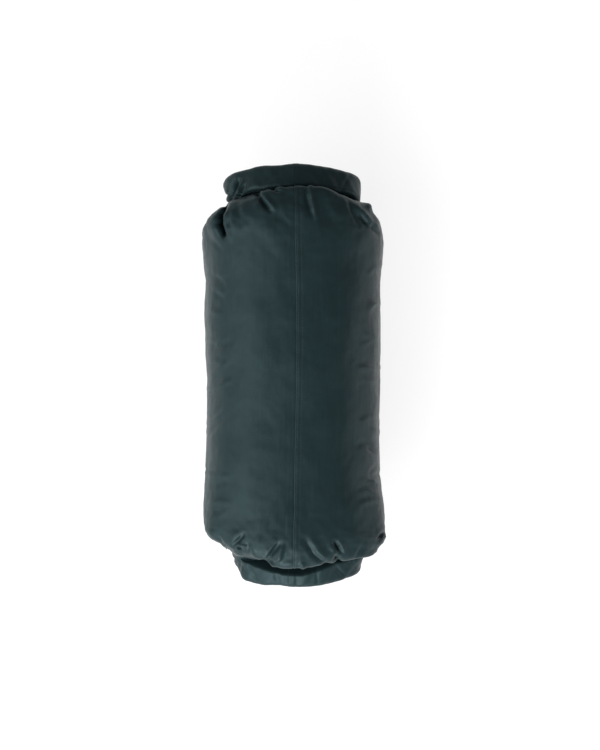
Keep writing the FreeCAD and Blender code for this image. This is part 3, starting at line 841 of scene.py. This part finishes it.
def make_stitches(seam, columns, points, normals):
    """Both stitch rows of one seam, between the columns of the skin beside it."""
    stitches = []
    for distance, radius in zip(STITCH_ROWS, STITCH_RADII):
        line, out = (resample(grid[:, columns].transpose(1, 0, 2), SEAM_STEPS, distance)[END_ROWS:-END_ROWS]
                     for grid in (points, normals))
        run = line_run(line)
        starts = np.arange(1.0, run[-1] - STITCH_LENGTH, STITCH_LENGTH + STITCH_GAP)
        stops = resample(line, run, starts + STITCH_LENGTH)
        for start, stop, up in zip(resample(line, run, starts), stops, resample(out, run, starts)):
            stitches.append(stitch(start, stop, up, radius))
    mesh = stitch_mesh(f"{seam}_stitches", stitches)
    finish_piece(link(mesh.name, mesh, THREAD), "sack", [f"{seam}_seam_thread"])


# Rings of a stitch: share of its length, share of its radius, how many radii it is sunk in.
STITCH_RINGS = ((0, 0.25, 1.1), (0.12, 0.8, 0.35), (0.5, 1.0, 0.0), (0.88, 0.8, 0.35), (1, 0.25, 1.1))
STITCH_SIDES = 6


def stitch(start, stop, out, radius):
    """Rings of points of one stitch: a small rounded thread from start to stop, its ends sunk in."""
    way = stop - start
    length = np.linalg.norm(way)
    way = way / length
    side = np.cross(way, out)
    side = side / np.linalg.norm(side)
    up = np.cross(side, way)
    rings = []
    for share, size, sink in STITCH_RINGS:
        middle = start + way * (share * length) - up * (sink * radius)
        turns = np.arange(STITCH_SIDES)[:, None] * 2 * math.pi / STITCH_SIDES
        rings.append(middle + (side * np.cos(turns) + up * np.sin(turns)) * radius * size)
    return np.array(rings)


def stitch_mesh(name, stitches):
    """One mesh from many stitches."""
    rings, sides = stitches[0].shape[:2]
    quads = grid_faces(rings, sides, wrap=True)
    faces = np.concatenate([quads + number * rings * sides for number in range(len(stitches))])
    return outward(make_mesh(name, np.array(stitches), faces))


# ---------- rolled ends

# Where along the bar its two halves meet, and the folds on it.
ROLL_SPLIT = {HEAD: -1.0, FOOT: -5.0}
ROLL_FOLDS = {
    HEAD: ((((-76, 192), (-65, 215)), 1.3, -4.0), (((-71, 187), (-59, 214)), 1.7, -7.5),
           (((-65, 188), (-52, 208)), 1.6, -6.0), (((-74, 192), (-62, 215)), 1.5, 1.4),
           (((-67.5, 188), (-55.5, 212)), 1.5, 2.2), (((-30, 212), (-14, 222)), 2.4, -0.7),
           (((28, 212), (44, 226)), 2.6, -0.7), (((54, 205), (62, 218)), 2.2, -1.0)),
    FOOT: ((((-50, -208), (-38, -228)), 2.2, -1.4), (((-20, -216), (-14, -231)), 2.6, -0.9),
           (((26, -213), (27, -231)), 1.6, -0.6), (((45, -208), (58, -222)), 2.4, -1.5),
           (((-62, -200), (-52, -216)), 2.2, -1.2), (((62, -200), (70, -214)), 2.2, -1.2)),
}
ROLL_STEP = 1.2
# Where the fabric starts and stops turning with an arm, before and past the cut in the bar.
BEND_BEFORE, BEND_PAST = 9.0, 13.0


def spiral(side, offset):
    """One face of the wrapped fabric, from the core outwards, as y and height above the bar's middle line."""
    y, up = [], []
    last = side * (WRAP_PITCH / 4 - CORE_RADIUS - offset)
    at = -ROLL_RUN
    for turn in range(HALF_TURNS):
        radius = CORE_RADIUS + turn * WRAP_PITCH / 2 + offset
        hand = 1 if turn % 2 == 0 else -1
        middle_y, middle = hand * ROLL_RUN, side * hand * WRAP_PITCH / 4
        start = middle - side * hand * radius
        for share in np.linspace(0, 1, 15 if turn > 4 else 7)[:-1]:
            y.append(at + (middle_y - at) * share)
            up.append(last + (start - last) * share)
        for angle in np.linspace(-math.pi / 2, math.pi / 2, 9)[:-1]:
            y.append(middle_y + hand * radius * math.cos(angle))
            up.append(middle + side * hand * radius * math.sin(angle))
        at, last = middle_y, middle + side * hand * radius
    for share in np.linspace(0, 1, 15):
        y.append(at + (-ROLL_RUN - 1.5 - at) * share)
        up.append(last)
    return np.array(y), np.array(up)


def roll_shape(end, lengths, y, up):
    """The rolled bar's uneven form: row points for stations along it and offsets in its section."""
    reach = np.abs(lengths)
    outwards = np.hypot(np.maximum(np.abs(y) - ROLL_RUN, 0), up) / OUTER_RUN
    x, z, normal_x, normal_z = bar(lengths)
    # Hand-rolled unevenness, slack in the outer turns.
    place = lengths / 10.0
    squeeze = 1 + 0.05 * np.sin(place * 1.3 + end) + 0.04 * np.sin(place * 3.1 + 2 * end)
    slack = 0.6 * np.sin(place * 2.3 + y / 5.0) + 0.35 * np.sin(place * 5.3 + y / 3.0)
    y_new = y * (1 + 0.025 * np.sin(place * 1.7 + 1.0)) + 0.5 * np.sin(place * 1.1)
    up_new = up * squeeze + np.sign(up) * slack * 0.35 * outwards ** 2
    if end == HEAD:
        # The left bend is twisted a little.
        turn = 0.22 * rise(lengths, -48, -74) * rise(lengths, -118, -92)
        c, s = np.cos(turn), np.sin(turn)
        y_new, up_new = y_new * c - up_new * s, y_new * s + up_new * c
    else:
        # The left bend is flattened, and the near edge is drawn under the stuffed end.
        flattened = 0.4 * rise(reach, 52, 66) * rise(reach, 104, 88) * (lengths < 0)
        up_new = up_new * np.where(up_new > 0, 1 - flattened, 1)
        edge = -1.0 - 8 * rise(reach, 8, 48)
        up_new = up_new - undercut(end, lengths) * rise(y, edge, edge - 5)
    # Pressed thin at the arms' ends, thicker where the two halves lap.
    up_new = up_new * (1 - 0.12 * rise(reach, HALF_LENGTH - 16, HALF_LENGTH))
    split = ROLL_SPLIT[end]
    lapped = rise(lengths, split + 7.5, split + 6.5) * (lengths > split + 0.1)
    up_new = up_new + np.sign(up) * 0.45 * lapped * outwards ** 3
    if end == FOOT:
        # The far edge's low outline: short at the left corner, full right of the middle, hollow past it.
        y_new = y_new * np.where(y_new > 0, 1 - 0.6 * rise(x, -51, -66), 1)
        y_new = y_new + rise(y, 0, 8) * (bell(x - 28, 14) - 1.6 * bell(x - 66, 9))
        left, right = drawn_in(end, lengths, x)
        x = x + left + right * rise(y_new, 6, -6)
    points = row_place(end, x + normal_x * up_new, y_new, z + normal_z * up_new)
    lift = fold_height(points[..., 0], points[..., 1], ROLL_FOLDS[end]) * rise(up, -2, 2)
    lift = lift * rise(points[..., 2], 85, 105)
    return points + row_direction(end, normal_x, normal_z) * lift[..., None]


def bend_field(end, sign):
    """Where the fabric starts and stops turning with an arm, in metres: across the cut in the bar."""
    cut, way = on_bend(CUT_ANGLE), way_along(CUT_ANGLE)
    return metres(end, sign, cut - way * BEND_BEFORE), metres(end, sign, cut + way * BEND_PAST)


def ride_bend(piece, end, hand, kind):
    """A half of a bar's piece, baked in place; the right half also stands for the bar's middle."""
    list(bend_field(end, HANDS[hand]))
    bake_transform(piece)
    places = ("right", "center") if hand == "right" else ("left",)
    finish_piece(piece, None, [named(end, kind, place) for place in places])


def make_stiffener(end, hand):
    """One half of the strip in the roll's core, bending with the roll."""
    along = HANDS[hand] * np.linspace(0.1, HALF_LENGTH - STIFFENER_SETBACK, 66)
    across = np.linspace(-STIFFENER_WIDTH / 2, STIFFENER_WIDTH / 2, 7)
    lengths, y = np.meshgrid(along, across, indexing="ij")
    core, half = -end * WRAP_PITCH / 4, STIFFENER_THICKNESS / 2
    layers = [roll_shape(end, lengths, y, np.full_like(y, core + face * half)) for face in (1, -1)]
    mesh = slab(named(end, hand, "strip"), *layers)
    ride_bend(link(mesh.name, mesh, STRIP, smooth=False), end, hand, "stiffener")


def make_roll(end, hand):
    """One half of a rolled end, bending at the joint from the sack to its arm."""
    sign = HANDS[hand]
    reach = np.concatenate([[0, 0.3, 0.8, 1.4], np.arange(2.6, HALF_LENGTH - 1, ROLL_STEP)])
    lengths = ROLL_SPLIT[end] + sign * reach
    lengths = np.append(lengths[np.abs(lengths) < HALF_LENGTH - 0.6], sign * HALF_LENGTH)
    faces = [spiral(-end, half * WRAP_THICKNESS) for half in (0.5, -0.5)]
    y, up = (np.concatenate([outer, inner[::-1]])[None, :] for outer, inner in zip(*faces))
    points = roll_shape(end, lengths[:, None], y, up)
    around = fabric_run(points[:1].transpose(1, 0, 2)).T
    mesh = tube(named(end, hand, "roll"), points, lengths[:, None], around)
    ride_bend(link(mesh.name, mesh, FABRIC), end, hand, "wraps")


def make_gusset(end, hand):
    """Fabric between the stuffed body and an arm, tucked inside at rest."""
    sign = HANDS[hand]
    lengths = sign * np.linspace(CUT_LENGTH + 12, HALF_LENGTH - 3, 30)[:, None]
    depth = np.linspace(-38, -10, 15)[None, :]
    x, z, normal_x, normal_z = bar(lengths)
    ripple = 0.7 * np.sin(lengths / 3.2) * rise(depth, -10, -20) - end * (OUTER_RUN - 1.0)
    layers = [row_place(end, x + normal_x * (ripple + face), depth, z + normal_z * (ripple + face))
              for face in (0.5, -0.5)]
    name = named(end, hand, "gusset")
    gusset = link(name, slab(name, *layers), FABRIC)
    low, high = (metres(end, sign, (60, -50), y) for y in (-34.0, -15.0))
    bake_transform(gusset)
    finish_piece(gusset)


# ---------- webbing

LAYER_GAP = 0.64
BAR_GAP = 0.9
WEB_STEP = 0.9
ARM_WAY = way_along(ARM_ANGLE)
BEND_END = on_bend(ARM_ANGLE)
PIVOT = BEND_END + ARM_WAY * (ARM_LENGTH + PIVOT_REACH)
TACK_X, TACK_STITCHES, TACK_LENGTH = 31.5, 15, 15.0
TACK_REACH, TACK_RADIUS = 1.1, 0.36


def rounded(line, rounds=3):
    """A line with its corners cut back again and again."""
    line = np.array(line, float)
    for _ in range(rounds):
        first, second = line[:-1], line[1:]
        cut = np.stack([first * 0.75 + second * 0.25, first * 0.25 + second * 0.75], axis=1).reshape(-1, 2)
        line = np.concatenate([line[:1], cut, line[-1:]])
    return line


def even(line, step):
    """The same line with points at even steps."""
    run = line_run(line)
    return resample(line, run, np.linspace(0, run[-1], int(run[-1] / step) + 1))


def web_line():
    """The right webbing's middle line: out of the roll, round the buckle's bar and back beside itself."""
    root = BEND_END + ARM_WAY * (ARM_LENGTH - 11)
    near_pivot = PIVOT - ARM_WAY * 3
    outward_gap = np.array([-ARM_WAY[1], ARM_WAY[0]]) * LAYER_GAP
    corner = np.array([0.455, -0.65])
    (turn_x, level), half = PIVOT - (4, 0), BAR_DEPTH / 2 + BAR_GAP
    far, near = BUCKLE_HALF + BAR_GAP, BUCKLE_HALF - BAR_WIDTH - BAR_GAP
    return [
        root + outward_gap, near_pivot + outward_gap, PIVOT + corner,
        (turn_x, level - LAYER_GAP), (far + 6, level - LAYER_GAP), (far + 2, level - half),
        (near, level - half), (near, level + half), (far + 2, level + half),
        (far + 6, level + LAYER_GAP), (turn_x, level + LAYER_GAP),
        PIVOT - corner, near_pivot - outward_gap, root - outward_gap,
    ]


def strap_profile():
    """Half-rounded, finely ribbed section of the webbing: across and thickness offsets, closed."""
    across = np.linspace(-1, 1, 45)
    edge = np.sqrt(1 - rise(np.abs(across), 0.93, 1.0) ** 2)
    rib = 1 + 0.13 * np.cos(across * WEB_WIDTH / 2 * 2 * math.pi / 1.75)
    height = (WEB_THICKNESS / 2 - 0.05) * (0.15 + 0.85 * edge) * rib
    width = across * (WEB_WIDTH / 2 - 0.1)
    return np.concatenate([width, width[-2:0:-1]]), np.concatenate([height, -height[-2:0:-1]])


def make_webbing(end, hand):
    """One webbing loop from its sewn root in the roll to the buckle and back."""
    sign = HANDS[hand]
    line = even(rounded(web_line()), WEB_STEP)
    way = np.gradient(line, axis=0)
    way /= np.maximum(np.hypot(*way.T)[:, None], 1e-9)
    width, height = strap_profile()
    pick = np.arange(len(line))[:, None]
    weave = 1 + 0.07 * np.cos(pick * math.pi) * np.sign(np.cos(width * 3.6))
    x = line[:, :1] - way[:, 1:] * height * weave
    z = line[:, 1:] + way[:, :1] * height * weave
    points = row_place(end, sign * x, width[None, :], z)
    name = named(end, hand, "webbing")
    strap = link(name, tube(name, points, width[None, :], pick * WEB_STEP), WEBBING)
    before, after = metres(end, sign, PIVOT - ARM_WAY * 7), metres(end, sign, PIVOT - (7, 0))
    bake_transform(strap)
    finish_piece(strap, None, [named(end, hand, "tab_root"), named(end, hand, "web_loop")])


def make_tack(end, hand, buckle_body):
    """The zigzag bar tack that closes a webbing loop, on both its faces."""
    sign = HANDS[hand]
    stitches = []
    for face in (-1, 1):
        level = PIVOT[1] + face * (2 * LAYER_GAP + 0.04)
        out = row_direction(end, 0.0, face)
        for number in range(TACK_STITCHES):
            y = TACK_LENGTH * (number / (TACK_STITCHES - 1) - 0.5)
            slant = 0.5 if number % 2 else -0.5
            start, stop = (row_place(end, sign * (TACK_X + reach), y + slant * reach, level)
                           for reach in (-TACK_REACH, TACK_REACH))
            stitches.append(stitch(start, stop, out, TACK_RADIUS))
    name = named(end, hand, "tack")
    tack = link(name, stitch_mesh(name, stitches), THREAD)
    finish_piece(tack, buckle_body, [named(end, hand, "bar_tack")])


# ---------- floor, light and camera

# Each lamp's name, place, size and power, in metres and watts.
LIGHTS = (
    ("key", (-1.7, -0.7, 1.6), 2.4, 62.0),
    ("low_fill", (-0.4, -1.9, 1.2), 1.3, 60.0),
    ("rim", (1.9, -0.3, 0.35), 0.7, 6.0),
)
LOOK_AT = (0, 0, 0.08)
WORLD_STRENGTH, FLOOR_GLOW = 0.26, 0.84
FLOOR_HALF, FLOOR_DROP = 3000, 0.0003
# The camera looks straight down on the sack's middle, from far enough away for a nearly flat view.
CAMERA_SENSOR, CAMERA_HEIGHT = 36.0, 6.0
VIEW_HEIGHT, VIEW_LEVEL = 0.825, 0.1
VIEW_X, VIEW_Y = 0.0077, 0.0005


def make_floor():
    """A plain pale paper floor, just under the sack."""
    paper, _, _ = principled("paper", (0.2, 0.2, 0.2), 0.9, Emission_Strength=FLOOR_GLOW,
                             Emission_Color=WHITE)
    corners = [(x * FLOOR_HALF, y * FLOOR_HALF, 0) for x, y in ((-1, -1), (1, -1), (1, 1), (-1, 1))]
    floor = link("floor", make_mesh("floor", corners, [[0, 1, 2, 3]]), paper, smooth=False)
    floor.location.z = -FLOOR_DROP


def make_lights():
    """Soft studio lamps and a pale surrounding."""
    world = bpy.data.worlds.new("studio")
    SCENE.world = world
    world.use_nodes = True
    background = world.node_tree.nodes["Background"]
    background.inputs["Color"].default_value = WHITE
    background.inputs["Strength"].default_value = WORLD_STRENGTH
    for name, place, size, power in LIGHTS:
        light = bpy.data.lights.new(name, "AREA")
        light.size, light.energy = size, power
        lamp = bpy.data.objects.new(name, light)
        lamp.location = place
        lamp.rotation_euler = (Vector(LOOK_AT) - Vector(place)).to_track_quat("-Z", "Y").to_euler()
        SCENE.collection.objects.link(lamp)


def make_camera():
    """The camera straight above."""
    camera = bpy.data.cameras.new("camera")
    camera.sensor_width = CAMERA_SENSOR
    camera.lens = CAMERA_SENSOR * CAMERA_HEIGHT / VIEW_HEIGHT
    camera.clip_end = 50
    viewer = bpy.data.objects.new("camera", camera)
    viewer.location = (VIEW_X, VIEW_Y, CAMERA_HEIGHT + VIEW_LEVEL)
    SCENE.collection.objects.link(viewer)
    SCENE.camera = viewer


# ---------- assembly

make_floor()
make_lights()
make_camera()
make_skin()
PARENT = {joint["child"]: joint["parent"] for joint in frame["joints"]}
for end in (HEAD, FOOT):
    halves = (named(end, "socket_half"), named(end, "plug_half"))
    buckle_by_arm = {PARENT[half]: half for half in halves}
    for hand in HANDS:
        make_roll(end, hand)
        make_stiffener(end, hand)
        make_gusset(end, hand)
        buckle_body = buckle_by_arm[named(end, hand, "arm")]
        make_webbing(end, hand)
        make_tack(end, hand, buckle_body)

for name, cad_node in frame["nodes"].items():
    if "buckle" in name or "prong" in name:
        cad_node.data.materials.clear()
        cad_node.data.materials.append(ACETAL)
